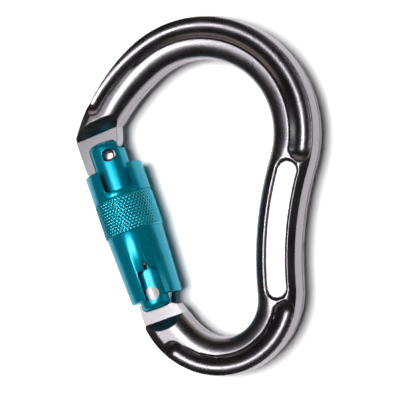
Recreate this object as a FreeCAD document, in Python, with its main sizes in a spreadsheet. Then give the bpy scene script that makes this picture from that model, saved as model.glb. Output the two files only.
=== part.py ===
import FreeCAD, Part
import math
import os
import Sketcher

# Locking carabiner.  Lengths in mm, angles in degrees.
# The body lies in XY with its forging parting plane at z = 0 and its front face towards +Z.
# The origin is the centre of the large basket; +Y runs from the small basket to the large one.
# Gate-side pieces are drawn in gate axes (u inwards, v along the gate, z to the front).

DIMENSIONS = {
    # body, plan view
    "half_thick": 5.6,
    "large_inner": 22.4,
    "large_outer": 35.4,
    "large_outer_x": 0.5,
    "large_outer_y": 0.0,
    "small_centre_y": -48.8,
    "small_inner": 11.2,
    "small_outer": 25.76,
    "small_outer_x": -1.0,
    "small_outer_y": -46.0,
    "spine_centre_x": 112.5,
    "spine_centre_y": -51.5,
    "spine_inner": 101.3,
    "spine_outer": 87.87,
    "bead_round": 4.6,
    "rim_round": 3.2,
    # channels and name plate recess
    "channel_ball": 3.6,
    "channel_lift": 7.2,
    "top_channel": 31.9,
    "top_channel_start": -16.0,
    "top_channel_sweep": 128.0,
    "low_channel": 22.8,
    "low_channel_start": 229.0,
    "low_channel_sweep": 108.0,
    "plate_mid": 94.3,
    "plate_half": 3.2,
    "plate_floor": 5.1,
    # gate axis
    "gate_x": -21.5,
    "gate_y": -44.9,
    "gate_tilt": 12.8,
    # tangs
    "tang_half": 2.3,
    "nose_shoulder": 51.2,
    "hinge_shoulder": -8.4,
    "shoulder_round": 3.4,
    "notch_half": 1.7,
    "notch_v": 43.6,
    # pins
    "hinge_u": 1.0,
    "latch_u": 1.9,
    "latch_v": 43.7,
    "pin_shank": 1.5,
    "pin_head": 2.0,
    "hinge_pin_half": 5.4,
    "latch_pin_half": 4.9,
    "hinge_head_thick": 2.0,
    "latch_head_thick": 1.0,
    "flush": 0.02,
    "pin_fit": 0.03,
    # gate
    "gate_radius": 5.4,
    "gate_foot": -4.7,
    "gate_top": 48.2,
    "gate_end_round": 1.6,
    "gate_slot_half": 2.45,
    "low_slot_top": 6.6,
    "high_slot_foot": 36.2,
    "high_slot_inner": 4.2,
    "wall_top": 45.0,
    "bore_u": 2.2,
    "bore_radius": 1.65,
    "bore_top": 22.0,
    # plunger and its spring
    "plunger_radius": 1.5,
    "plunger_tip": 3.45,
    "plunger_top": 9.2,
    "coil_radius": 1.3,
    "coil_wire": 0.26,
    "coil_foot": 9.5,
    "coil_length": 12.2,
    "coil_pitch": 1.22,
    # sleeve
    "sleeve_rest": 20.0,
    "sleeve_foot": -1.5,
    "sleeve_foot_radius": 7.85,
    "band_foot": 19.3,
    "band_top": 30.6,
    "band_radius": 9.05,
    "cone_top_radius": 8.7,
    "ear_top": 39.4,
    "ear_radius": 8.95,
    "land_radius": 5.48,
    "land_top": 8.2,
    "chamber_radius": 7.4,
    "bush_foot": 27.0,
    "bush_top": 31.0,
    "ear_bore": 7.6,
    "ear_slot_half": 4.35,
    "ear_slot_foot": 32.3,
    "foot_slot_half": 3.1,
    "foot_slot_top": 7.2,
    "notch_wire_half": 0.72,
    "notch_wire_top": 9.6,
    # sleeve spring
    "twist_radius": 6.45,
    "twist_wire": 0.5,
    "twist_foot": 8.95,
    "twist_pitch": 2.4,
    "twist_turns": 7.0,
    "twist_leg_out": 7.95,
    # bush, ring and stop
    "bush_radius": 7.58,
    "ring_foot": 31.06,
    "ring_top": 32.0,
    "ring_inner": 5.0,
    "ring_outer": 7.1,
    "stop_radius": 0.75,
    "stop_v": 29.0,
    "stop_reach": 6.7,
}

doc = FreeCAD.newDocument("carabiner")
sheet = doc.addObject("Spreadsheet::Sheet", "dims")
for row, (alias, number) in enumerate(DIMENSIONS.items(), start=1):
    sheet.set("A%d" % row, alias)
    sheet.set("B%d" % row, str(number))
    sheet.setAlias("B%d" % row, alias)
doc.recompute()

V = FreeCAD.Vector
Z = V(0, 0, 1)
UP_V = FreeCAD.Rotation(V(1, 0, 0), -90)


def d(alias):
    return float(sheet.get(alias))


GATE = FreeCAD.Placement(V(d("gate_x"), d("gate_y"), 0), FreeCAD.Rotation(Z, d("gate_tilt")))
# at rest the sleeve stands turned a little about the gate, its slots facing between front and spine
REST = FreeCAD.Placement(V(), FreeCAD.Rotation(V(0, 1, 0), d("sleeve_rest")))


def bind(item, **expressions):
    for prop, expression in expressions.items():
        item.setExpression(prop, expression)


def gate_point(u, v):
    return GATE.multVec(V(u, v, 0))


def primitive(kind, name, place=None, **expressions):
    item = doc.addObject("Part::" + kind, name)
    for prop, expression in expressions.items():
        item.setExpression(prop, expression)
    if place is not None:
        item.Placement = place
    return item


def along_v(name, u, v_from, v_to, radius):
    """A round bar along the gate axis; radius is a cell name or sum of cells."""
    place = FreeCAD.Placement(V(u, v_from, 0), UP_V)
    item = primitive("Cylinder", name, place, Radius=radius)
    item.Height = v_to - v_from
    return item


def along_z(name, u, v, z_from, z_to, radius):
    place = FreeCAD.Placement(V(u, v, z_from), FreeCAD.Rotation())
    item = primitive("Cylinder", name, place, Radius=radius)
    item.Height = z_to - z_from
    return item


def block(name, low, high):
    item = doc.addObject("Part::Box", name)
    item.Length, item.Width, item.Height = [b - a for a, b in zip(low, high)]
    item.Placement.Base = V(*low)
    return item


def fuse(name, items):
    item = doc.addObject("Part::MultiFuse", name)
    item.Shapes = items
    return item


def cut(name, base, tool):
    item = doc.addObject("Part::Cut", name)
    item.Base = base
    item.Tool = tool
    doc.recompute()
    if not item.Shape.Volume < base.Shape.Volume - 1e-4:
        raise ValueError(name + " removed nothing")
    return item


def finish(item, label, place=None):
    item.Label = label
    if place is not None:
        item.Placement = place.multiply(item.Placement)
    finished.append(item)
    return item


def on_circle(cx, cy, radius, angle):
    return V(cx + radius * math.cos(math.radians(angle)), cy + radius * math.sin(math.radians(angle)), 0)


def round_arc(cx, cy, radius, start, end):
    """An arc from one angle to another, as three points on it."""
    return [on_circle(cx, cy, radius, a) for a in (start, (start + end) / 2, end)]


def leaving_arc(start, heading, end):
    """The arc that leaves start along heading (degrees) and ends at end, as three points."""
    chord = end - start
    turn = 2 * math.radians((math.degrees(math.atan2(chord.y, chord.x)) - heading + 180) % 360 - 180)
    side = V(-chord.y, chord.x, 0).normalize()
    middle = (start + end) * 0.5 - side * (chord.Length / 2 * math.tan(turn / 4))
    return [start, middle, end]


def heading_after(start, heading, end):
    """The heading at the end of that arc."""
    chord = end - start
    return 2 * math.degrees(math.atan2(chord.y, chord.x)) - heading


def draw(body, name, pieces):
    """A closed profile on the body's XY plane: 3 points make an arc, 2 a line."""
    sketch = body.newObject("Sketcher::SketchObject", name)
    plane = [f for f in body.Origin.OriginFeatures if f.Role == "XY_Plane"][0]
    sketch.AttachmentSupport = [(plane, "")]
    sketch.MapMode = "FlatFace"
    for points in pieces:
        if len(points) == 3:
            sketch.addGeometry(Part.Arc(*points), False)
        else:
            sketch.addGeometry(Part.LineSegment(*points), False)
    count = len(pieces)
    for k in range(count):
        here, there = pieces[k][-1], pieces[(k + 1) % count][0]
        if (here - there).Length > 0.01:
            raise ValueError("%s is open after piece %d: %s %s" % (name, k, here, there))
    return sketch


def polygon(points):
    """Line pieces round a list of (x, y)."""
    ends = [V(x, y, 0) for x, y in points]
    return [[a, b] for a, b in zip(ends, ends[1:] + ends[:1])]


def slab(name, pieces, length):
    """A padded profile, half of its length on each side of z = 0."""
    body = doc.addObject("PartDesign::Body", name)
    pad = body.newObject("PartDesign::Pad", name + "_pad")
    pad.Profile = draw(body, name + "_sketch", pieces)
    bind(pad, Length=length)
    if hasattr(pad, "SideType"):
        pad.SideType = "Symmetric"
    else:
        pad.Midplane = True
    body.Tip = pad
    doc.recompute()
    return body


def turned(name, points):
    """A profile of (v, radius) turned about the gate axis; 3-point pieces are arcs."""
    body = doc.addObject("PartDesign::Body", name)
    pieces = [[V(r, v, 0) for v, r in piece] for piece in points]
    sketch = draw(body, name + "_sketch", pieces)
    turn = body.newObject("PartDesign::Revolution", name + "_turn")
    turn.Profile = sketch
    turn.ReferenceAxis = (sketch, ["V_Axis"])
    turn.Angle = 360
    body.Tip = turn
    doc.recompute()
    return body


def chain(corners):
    """Straight pieces round a list of (v, radius) corners."""
    return [[a, b] for a, b in zip(corners, corners[1:] + corners[:1])]


finished = []
PIN_PLACES = (("hinge", d("hinge_u"), 0), ("latch", d("latch_u"), d("latch_v")))

# ---------------------------------------------------------------- forged body: the bow
spine = (d("spine_centre_x"), d("spine_centre_y"))
ring = (d("large_outer_x"), d("large_outer_y"))
heel = (d("small_outer_x"), d("small_outer_y"))
angle_of = lambda a, b: math.degrees(math.atan2(b[1] - a[1], b[0] - a[0]))

top_in = angle_of((0, 0), spine)
top_out = angle_of(ring, spine)
low_in = angle_of((0, d("small_centre_y")), spine)
low_out = angle_of(heel, spine)

nose_leave = on_circle(ring[0], ring[1], d("large_outer"), 122)
nose_mid = V(-31.6, 18.4, 0)
nose_corner = gate_point(-7.9, d("nose_shoulder"))
first = leaving_arc(nose_leave, -148, nose_mid)
second = leaving_arc(nose_mid, heading_after(nose_leave, -148, nose_mid), nose_corner)
nose_inner = gate_point(6.6, d("nose_shoulder"))
throat = on_circle(0, 0, d("large_inner"), 120)
throat_arc = leaving_arc(throat, -150, nose_inner)

hinge_outer_angle = 198.8
hinge_outer = on_circle(heel[0], heel[1], d("small_outer"), hinge_outer_angle)
hinge_inner = gate_point(7.6, d("hinge_shoulder"))
saddle = on_circle(0, d("small_centre_y"), d("small_inner"), 228)

outline = [
    round_arc(0, 0, d("large_inner"), 120, top_in),
    round_arc(spine[0], spine[1], d("spine_inner"), top_in + 180, low_in + 180),
    round_arc(0, d("small_centre_y"), d("small_inner"), low_in, -132),
    leaving_arc(saddle, 138, hinge_inner),
    [hinge_inner, hinge_outer],
    round_arc(heel[0], heel[1], d("small_outer"), hinge_outer_angle, 360 + low_out),
    round_arc(spine[0], spine[1], d("spine_outer"), low_out + 180, top_out + 180),
    round_arc(ring[0], ring[1], d("large_outer"), top_out, 122),
    first,
    second,
    [nose_corner, nose_inner],
    throat_arc[::-1],
]
# neighbouring arcs meet to a few hundredths; the shared ends are made exact here
for k in range(len(outline)):
    outline[(k + 1) % len(outline)][0] = outline[k][-1]

bow = slab("bow", outline, "2 * dims.half_thick")


def edges_on(shape, wanted):
    """Names of the two face edges (front and back) whose middles lie near given plan points."""
    names = []
    for number, edge in enumerate(shape.Edges, start=1):
        middle = edge.valueAt((edge.FirstParameter + edge.LastParameter) / 2)
        if abs(abs(middle.z) - d("half_thick")) > 0.01:
            continue
        if any((V(middle.x, middle.y, 0) - point).Length < 0.05 for point in wanted):
            names.append("Edge%d" % number)
    return names


def middles(pieces):
    found = []
    for points in pieces:
        curve = Part.Arc(*points).toShape()
        found.append(curve.valueAt((curve.FirstParameter + curve.LastParameter) / 2))
    return found


previous = bow.Tip
for name, cell, pieces in (
    ("bead_edge", "bead_round", outline[0:4] + outline[11:12]),
    ("rim_edge", "rim_round", outline[5:10]),
):
    names = edges_on(previous.Shape, middles(pieces))
    rounded = bow.newObject("PartDesign::Fillet", name)
    rounded.Base = (previous, names)
    bind(rounded, Radius="dims." + cell)
    bow.Tip = rounded
    doc.recompute()
    previous = rounded

# ---------------------------------------------------------------- forged body: channels
tools = []
for side, sign in (("front", 1), ("back", -1)):
    lift = sign * d("channel_lift")
    ball = "dims.channel_ball"
    start = d("top_channel_start")
    stop = start + d("top_channel_sweep")
    flat = FreeCAD.Placement(V(0, 0, lift), FreeCAD.Rotation(Z, start))
    tools.append(primitive("Torus", "top_channel_" + side, flat, Radius1="dims.top_channel",
                           Radius2=ball, Angle3="dims.top_channel_sweep"))
    # a wider arc carries the channel off the ring and out through the rim
    leave = on_circle(0, 0, d("top_channel"), stop)
    wide = 50.4
    centre = on_circle(leave.x, leave.y, wide, stop + 180)
    flat = FreeCAD.Placement(centre + V(0, 0, lift), FreeCAD.Rotation(Z, stop))
    run_out = primitive("Torus", "run_out_channel_" + side, flat, Radius2=ball)
    run_out.Radius1 = wide
    run_out.Angle3 = 29.4
    tools.append(run_out)
    ends = [
        on_circle(0, 0, d("top_channel"), start),
        on_circle(centre.x, centre.y, wide, stop + 29.4),
    ]
    low_start = d("low_channel_start")
    flat = FreeCAD.Placement(V(heel[0], heel[1], lift), FreeCAD.Rotation(Z, low_start))
    tools.append(primitive("Torus", "low_channel_" + side, flat, Radius1="dims.low_channel",
                           Radius2=ball, Angle3="dims.low_channel_sweep"))
    ends.append(on_circle(heel[0], heel[1], d("low_channel"), low_start))
    ends.append(on_circle(heel[0], heel[1], d("low_channel"), low_start + d("low_channel_sweep")))
    for number, end in enumerate(ends):
        spot = FreeCAD.Placement(end + V(0, 0, lift), FreeCAD.Rotation())
        tools.append(primitive("Sphere", "channel_end_%s_%d" % (side, number), spot, Radius=ball))
    print("channel ends", side, [(round(e.x, 1), round(e.y, 1)) for e in ends])

# ---------------------------------------------------------------- forged body: name plate recess
plate_from, plate_to = 156.8, 177.6
inner, outer = d("plate_mid") + d("plate_half"), d("plate_mid") - d("plate_half")
foot = on_circle(spine[0], spine[1], d("plate_mid"), plate_to)
head = on_circle(spine[0], spine[1], d("plate_mid"), plate_from)
plate = [
    round_arc(spine[0], spine[1], inner, plate_from, plate_to),
    round_arc(foot.x, foot.y, d("plate_half"), plate_to, plate_to + 180),
    round_arc(spine[0], spine[1], outer, plate_to, plate_from),
    round_arc(head.x, head.y, d("plate_half"), plate_from + 180, plate_from + 360),
]
for k in range(4):
    plate[(k + 1) % 4][0] = plate[k][-1]
recess = doc.addObject("PartDesign::Body", "plate_recess")
recess_pad = recess.newObject("PartDesign::Pad", "plate_recess_pad")
recess_pad.Profile = draw(recess, "plate_recess_sketch", plate)
recess_pad.Length = 5
recess.Tip = recess_pad
recess.Placement.Base = V(0, 0, d("plate_floor"))
doc.recompute()
tools.append(recess)

# ---------------------------------------------------------------- forged body: shoulders and tangs
for name, v_shoulder, outwards in (("nose", d("nose_shoulder"), -1), ("hinge", d("hinge_shoulder"), 1)):
    for side, sign in (("front", 1), ("back", -1)):
        z_axis = sign * (d("tang_half") + d("shoulder_round"))
        # the round runs square to the gate and rises a little towards the spine, as the cutter leaves it
        lie = FreeCAD.Rotation(V(0, 1, 0), 90)
        place = GATE.multiply(FreeCAD.Placement(V(-14, v_shoulder, z_axis), lie))
        cove = primitive("Cylinder", "%s_cove_%s" % (name, side), place, Radius="dims.shoulder_round")
        cove.Height = 32
        tools.append(cove)

channels = fuse("body_tools", tools)
doc.recompute()
milled = cut("bow_milled", bow, channels)

nose_tang = slab("nose_tang", polygon([
    (-7.9, 51.2), (-7.8, 42.0), (-7.7, 40.9), (-7.2, 40.2), (-4.0, 40.55), (1.0, 40.85), (3.5, 40.8),
    (3.9, 41.2), (3.9, d("notch_v") - d("notch_half")), (d("latch_u"), d("notch_v") - d("notch_half")),
    (d("latch_u"), d("notch_v") + d("notch_half")), (3.9, d("notch_v") + d("notch_half")),
    (4.6, 46.2), (5.4, 47.6), (6.6, 51.2), (6.6, 55.0), (-4.0, 56.0),
]), "2 * dims.tang_half")
hinge_tang = slab("hinge_tang", polygon([
    (-6.2, -8.4), (-6.0, -2.4), (-4.8, -2.0), (-4.6, -1.6), (-4.6, 0.8), (-4.35, 2.2), (-3.6, 3.4),
    (4.5, 3.4), (4.8, 3.1), (4.8, -0.2), (3.9, -2.6), (3.4, -3.9), (6.4, -5.4), (7.6, -8.4),
    (8.5, -12.5), (2.0, -14.0), (-4.2, -12.0),
]), "2 * dims.tang_half")
for tang in (nose_tang, hinge_tang):
    tang.Placement = GATE
body_whole = fuse("body_whole", [milled, nose_tang, hinge_tang])
notch_end = along_z("notch_end", d("latch_u"), d("notch_v"), -6, 6, "dims.notch_half")
hinge_hole = along_z("body_hinge_hole", d("hinge_u"), 0, -6, 6, "dims.pin_shank + dims.pin_fit")
for hole in (notch_end, hinge_hole):
    hole.Placement = GATE.multiply(hole.Placement)
holes = fuse("body_holes", [notch_end, hinge_hole])
doc.recompute()
body = finish(cut("body_cut", body_whole, holes), "carabiner_body")

# ---------------------------------------------------------------- gate
R, foot_v, top_v, soft = d("gate_radius"), d("gate_foot"), d("gate_top"), d("gate_end_round")
bend = soft * (1 - math.sqrt(0.5))
gate_bar = turned("gate_bar", [
    [(foot_v, 0), (foot_v, R - soft)],
    [(foot_v, R - soft), (foot_v + bend, R - bend), (foot_v + soft, R)],
    [(foot_v + soft, R), (top_v - soft, R)],
    [(top_v - soft, R), (top_v - bend, R - bend), (top_v, R - soft)],
    [(top_v, R - soft), (top_v, 0)],
    [(top_v, 0), (foot_v, 0)],
])
slot = d("gate_slot_half")
ring_groove = turned("ring_groove", chain([
    (d("ring_foot") - 0.06, d("ring_inner") - 0.05), (d("ring_foot") - 0.06, 8),
    (d("ring_top") + 0.06, 8), (d("ring_top") + 0.06, d("ring_inner") - 0.05),
]))
gate_tools = [
    block("hinge_slot", (-9, foot_v - 1, -slot), (9, d("low_slot_top"), slot)),
    block("nose_slot", (-9, d("high_slot_foot"), -slot), (d("high_slot_inner"), top_v + 1, slot)),
    block("nose_slot_mouth", (0, d("wall_top"), -slot), (9, top_v + 1, slot)),
    slab("gate_top_corner", polygon([(3.7, 48.4), (5.6, 45.2), (8.0, 45.2), (8.0, 50.0), (3.7, 50.0)]), "14 mm"),
    along_v("spring_bore", d("bore_u"), d("low_slot_top") - 1, d("bore_top"), "dims.bore_radius"),
    ring_groove,
]
for name, u, v in PIN_PLACES:
    gate_tools.append(along_z("gate_%s_hole" % name, u, v, -7, 7, "dims.pin_shank + dims.pin_fit"))
    rise = d(name + "_pin_half") - d(name + "_head_thick")
    for side, z_from, z_to in (("front", rise, 8), ("back", -8, -rise)):
        gate_tools.append(along_z("gate_%s_seat_%s" % (name, side), u, v, z_from, z_to,
                                  "dims.pin_head + dims.pin_fit"))
stop_lie = FreeCAD.Rotation(V(0, 1, 0), -90)
stop_hole = primitive("Cylinder", "stop_hole", FreeCAD.Placement(V(-2.9, d("stop_v"), 0), stop_lie),
                      Radius="dims.stop_radius + dims.pin_fit")
stop_hole.Height = 4
leg_top = d("twist_foot") + d("twist_pitch") * d("twist_turns")
leg_hole = along_z("leg_hole", 0, leg_top, 3.7, 8, "dims.twist_wire + 0.1")
leg_hole.Placement = REST.multiply(leg_hole.Placement)
gate_tools += [stop_hole, leg_hole]
doc.recompute()
gate = finish(cut("gate_cut", gate_bar, fuse("gate_tools", gate_tools)), "gate", GATE)

# ---------------------------------------------------------------- pins
for name, u, v in PIN_PLACES:
    half, thick = d(name + "_pin_half"), d(name + "_head_thick")
    shank = along_z(name + "_shank", u, v, -half + thick / 2, half - thick / 2, "dims.pin_shank")
    heads = [along_z("%s_head_%d" % (name, k), u, v, a, a + thick, "dims.pin_head")
             for k, a in enumerate((-half, half - thick))]
    pin = fuse(name + "_pin_whole", [shank] + heads)
    if name == "hinge":
        # the sleeve turns over these heads, so they are turned down flush with the gate
        common = doc.addObject("Part::Common", "hinge_pin_flush")
        common.Base = pin
        common.Tool = along_v("gate_round", 0, -3, 3, "dims.gate_radius - dims.flush")
        pin = common
    finish(pin, name + "_pin", GATE)
stop = primitive("Cylinder", "stop_bar", FreeCAD.Placement(V(-3.0, d("stop_v"), 0), stop_lie),
                 Radius="dims.stop_radius")
stop.Height = d("stop_reach") - 3.0
finish(stop, "stop_pin", GATE)

# ---------------------------------------------------------------- plunger and gate spring
plunger_shank = along_v("plunger_shank", d("bore_u"), d("plunger_tip") + d("plunger_radius"),
                        d("plunger_top"), "dims.plunger_radius")
tip_place = FreeCAD.Placement(V(d("bore_u"), d("plunger_tip") + d("plunger_radius"), 0), UP_V)
plunger_tip = primitive("Sphere", "plunger_ball", tip_place, Radius="dims.plunger_radius")
finish(fuse("plunger_whole", [plunger_shank, plunger_tip]), "gate_plunger", GATE)


def coil(name, place, radius, wire, pitch, height):
    """A round-wire helix about the placement's own Z."""
    helix = primitive("Helix", name + "_path", None, Radius=radius, Pitch=pitch, Height=height)
    ring = primitive("Circle", name + "_wire", None, Radius=wire)
    doc.recompute()
    start = FreeCAD.Rotation(V(1, 0, 0), 90)
    ring.Placement = FreeCAD.Placement(V(helix.Radius.Value, 0, 0), start)
    swept = doc.addObject("Part::Sweep", name + "_swept")
    swept.Sections = [ring]
    swept.Spine = (helix, ["Edge1"])
    swept.Solid = True
    swept.Frenet = True
    doc.recompute()
    swept.Placement = place
    return swept


gate_coil = coil("gate_coil", FreeCAD.Placement(V(d("bore_u"), d("coil_foot"), 0), UP_V),
                 "dims.coil_radius", "dims.coil_wire", "dims.coil_pitch", "dims.coil_length")
finish(gate_coil, "gate_spring", GATE)

# ---------------------------------------------------------------- sleeve
sleeve_bar = turned("sleeve_bar", chain([
    (d("sleeve_foot"), d("land_radius")), (d("sleeve_foot"), d("sleeve_foot_radius") - 0.4),
    (d("sleeve_foot") + 0.4, d("sleeve_foot_radius")), (d("band_foot"), d("cone_top_radius")),
    (d("band_foot") + 0.1, d("band_radius") - 0.25), (d("band_foot") + 0.4, d("band_radius")),
    (d("band_top") - 0.4, d("band_radius")), (d("band_top") - 0.1, d("band_radius") - 0.25),
    (d("band_top"), d("ear_radius")), (d("ear_top") - 0.4, d("ear_radius")),
    (d("ear_top"), d("ear_radius") - 0.4), (d("ear_top"), d("ear_bore")),
    (d("bush_foot"), d("ear_bore")), (d("bush_foot"), d("chamber_radius")),
    (d("land_top"), d("chamber_radius")), (d("land_top"), d("land_radius")),
]))
ear, low = d("ear_slot_half"), d("foot_slot_half")
# a flat on the outer side of the foot, leaning in towards the gate; drawn before the sleeve is turned
relief = block("foot_relief", (-4, -12, -12), (0, 8, 12))
relief.Placement = REST.inverse().multiply(
    FreeCAD.Placement(V(-6.35, d("sleeve_foot"), 0), FreeCAD.Rotation(Z, 20))).multiply(
        FreeCAD.Placement(V(-4, -12, -12), FreeCAD.Rotation()))
sleeve_tools = [
    block("ear_slot_upper", (-ear, d("ear_slot_foot") + 1.5, 0), (ear, d("ear_top") + 2, 12)),
    block("ear_slot_lower", (-ear + 1.5, d("ear_slot_foot"), 0), (ear - 1.5, d("ear_top"), 12)),
    block("foot_slot_lower", (-low, d("sleeve_foot") - 2, 0), (low, d("foot_slot_top") - 1.2, 12)),
    block("foot_slot_upper", (-low + 1.2, d("sleeve_foot"), 0), (low - 1.2, d("foot_slot_top"), 12)),
    block("wire_notch", (-d("notch_wire_half"), 5, 0),
          (d("notch_wire_half"), d("notch_wire_top") - d("notch_wire_half"), 12)),
    along_z("wire_notch_end", 0, d("notch_wire_top") - d("notch_wire_half"), 0, 12,
            "dims.notch_wire_half"),
    relief,
]
for sign in (-1, 1):
    sleeve_tools.append(along_z("ear_corner_%d" % (sign + 1), sign * (ear - 1.5),
                                d("ear_slot_foot") + 1.5, 0, 12, "1.5"))
    sleeve_tools.append(along_z("foot_corner_%d" % (sign + 1), sign * (low - 1.2),
                                d("foot_slot_top") - 1.2, 0, 12, "1.2"))
doc.recompute()
finish(cut("sleeve_cut", sleeve_bar, fuse("sleeve_tools", sleeve_tools)), "locking_sleeve",
       GATE.multiply(REST))

# ---------------------------------------------------------------- sleeve spring
# the coil starts and ends at the front; one leg turns out into the sleeve, the other into the gate
to_front = FreeCAD.Rotation(V(0, 0, 1), V(1, 0, 0), V(0, 1, 0), "ZXY")
twist = coil("twist_coil", FreeCAD.Placement(V(0, d("twist_foot"), 0), to_front), "dims.twist_radius",
             "dims.twist_wire", "dims.twist_pitch", "dims.twist_pitch * dims.twist_turns")
leg_out = along_z("leg_out", 0, d("twist_foot"), d("twist_radius") - 0.1, d("twist_leg_out"),
                  "dims.twist_wire")
leg_in = along_z("leg_in", 0, leg_top, 3.9, d("twist_radius") + 0.1, "dims.twist_wire")
finish(fuse("twist_whole", [twist, leg_out, leg_in]), "sleeve_spring", GATE.multiply(REST))

# ---------------------------------------------------------------- stop bush and retaining ring
bush_bar = turned("bush_bar", chain([
    (d("bush_foot") + 0.02, d("land_radius")), (d("bush_foot") + 0.02, d("bush_radius")),
    (d("bush_top"), d("bush_radius")), (d("bush_top"), d("land_radius")),
]))
window = primitive("Cylinder", "stop_window", None, Angle="132")
window.Radius, window.Height = d("stop_reach") + 0.2, 2 * d("stop_radius") + 0.2
# the window runs from the stop's place at rest round to the front, with room for the stop itself
window.Placement = FreeCAD.Placement(
    V(0, d("stop_v") - d("stop_radius") - 0.1, 0),
    FreeCAD.Rotation(V(-1, 0, 0), V(0, 0, 1), V(0, 1, 0), "ZXY").multiply(FreeCAD.Rotation(Z, -11)))
doc.recompute()
finish(cut("bush_cut", bush_bar, window), "stop_bush", GATE)

ring_bar = turned("ring_bar", chain([
    (d("ring_foot"), d("ring_inner")), (d("ring_foot"), d("ring_outer")),
    (d("ring_top"), d("ring_outer")), (d("ring_top"), d("ring_inner")),
]))
ring_gap = block("ring_gap", (-1.2, 30, -9), (1.2, 34, 0))
doc.recompute()
finish(cut("ring_cut", ring_bar, ring_gap), "retaining_ring", GATE)

# ---------------------------------------------------------------- checks and export
doc.recompute()
for item in doc.Objects:
    if "Invalid" in item.State or "Error" in item.State:
        raise ValueError("%s: %s" % (item.Name, item.State))
os.makedirs("parts", exist_ok=True)
for item in finished:
    shape = item.Shape
    if shape.isNull() or not shape.isValid():
        raise ValueError(item.Label + " has no valid shape")
    shape.exportStep("parts/%s.step" % item.Label)
    box = shape.BoundBox
    print("%-16s solids %d volume %9.2f  x %.2f..%.2f y %.2f..%.2f z %.2f..%.2f" % (
        item.Label, len(shape.Solids), shape.Volume,
        box.XMin, box.XMax, box.YMin, box.YMax, box.ZMin, box.ZMax))
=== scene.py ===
import bmesh
import bpy
import math
import numpy as np
from mathutils import Matrix, Vector


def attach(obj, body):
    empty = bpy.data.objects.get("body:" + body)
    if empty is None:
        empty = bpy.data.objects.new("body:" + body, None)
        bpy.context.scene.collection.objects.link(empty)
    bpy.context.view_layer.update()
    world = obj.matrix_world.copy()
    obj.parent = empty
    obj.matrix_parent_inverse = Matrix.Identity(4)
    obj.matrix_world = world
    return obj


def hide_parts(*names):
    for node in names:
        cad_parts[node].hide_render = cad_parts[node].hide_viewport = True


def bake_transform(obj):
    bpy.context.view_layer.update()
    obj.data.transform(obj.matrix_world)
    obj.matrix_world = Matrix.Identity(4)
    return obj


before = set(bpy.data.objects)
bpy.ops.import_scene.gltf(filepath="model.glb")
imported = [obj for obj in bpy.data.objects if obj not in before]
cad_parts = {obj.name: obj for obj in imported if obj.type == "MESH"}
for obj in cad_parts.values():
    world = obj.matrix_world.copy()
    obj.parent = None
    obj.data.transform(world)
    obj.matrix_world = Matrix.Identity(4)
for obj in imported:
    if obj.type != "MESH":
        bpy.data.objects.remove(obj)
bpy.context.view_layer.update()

# ---------------------------------------------------------------------------------------------
# The forged bow. One bar of alloy, hot forged between two dies that meet at z = 0, then trimmed,
# tumbled and polished. A round bead carries the rope; a channel outside it saves weight.

LARGE_IN, LARGE_OUT, LARGE_OUT_AT = 22.4, 35.4, (0.5, 0.0)
SMALL_IN, SMALL_IN_AT = 11.2, (0.0, -48.8)
HEEL, HEEL_AT = 25.76, (-1.0, -46.0)
SPINE_AT, SPINE_IN, SPINE_OUT = (112.5, -51.5), 101.3, 87.87
PLATE_MID, PLATE_HALF, PLATE_HEIGHT, PLATE_FROM, PLATE_TO = 94.3, 3.2, 5.1, 156.8, 177.6
CHANNEL_RADIUS, CHANNEL_BEND, FLATTER_RADIUS, HEEL_CHANNEL = 31.9, 112, 50.4, 22.6
CUTTER_RADIUS, CUTTER_HEIGHT = 3.8, 7.35
HALF_THICK, TANG_HALF = 5.6, 2.3
NOSE_SHOULDER, HINGE_SHOULDER = 51.2, -8.4
GATE_TURN = math.radians(12.8)
GATE_FOOT = (-21.5, -44.9)


def at_gate(u, v):
    """Gate axes (u inwards, v along the gate) to the bow's plan, in millimetres."""
    s, c = math.sin(GATE_TURN), math.cos(GATE_TURN)
    return (GATE_FOOT[0] + c * u - s * v, GATE_FOOT[1] + s * u + c * v)


def bearing(a, b):
    return math.degrees(math.atan2(b[1] - a[1], b[0] - a[0]))


def sweep(centre, radius, start, end, count):
    """Points along a circle from one angle to another, the last one left out."""
    angle = np.radians(np.linspace(start, end, count, endpoint=False))
    return np.c_[centre[0] + radius * np.cos(angle), centre[1] + radius * np.sin(angle)]


def bend(start, heading, end, count):
    """Points along the arc that leaves start along heading and reaches end, the last left out."""
    chord = np.subtract(end, start)
    turn = 2 * math.radians((math.degrees(math.atan2(chord[1], chord[0])) - heading + 180) % 360 - 180)
    radius = math.hypot(*chord) / 2 / math.sin(turn / 2)
    side = math.radians(heading + 90)
    centre = (start[0] + radius * math.cos(side), start[1] + radius * math.sin(side))
    first = math.degrees(math.atan2(start[1] - centre[1], start[0] - centre[0]))
    return sweep(centre, abs(radius), first, first + math.degrees(turn), count)


def closer_at_ends(line):
    """The same line with its first and last ten gaps cut into finer ones, for the milled coves."""
    last = len(line) - 1
    index = np.concatenate([
        np.arange(0, 10, 0.3), np.arange(10, last - 10), np.arange(last - 10, last, 0.3), [last],
    ])
    return np.c_[[np.interp(index, np.arange(last + 1), line[:, k]) for k in (0, 1)]].T


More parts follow.
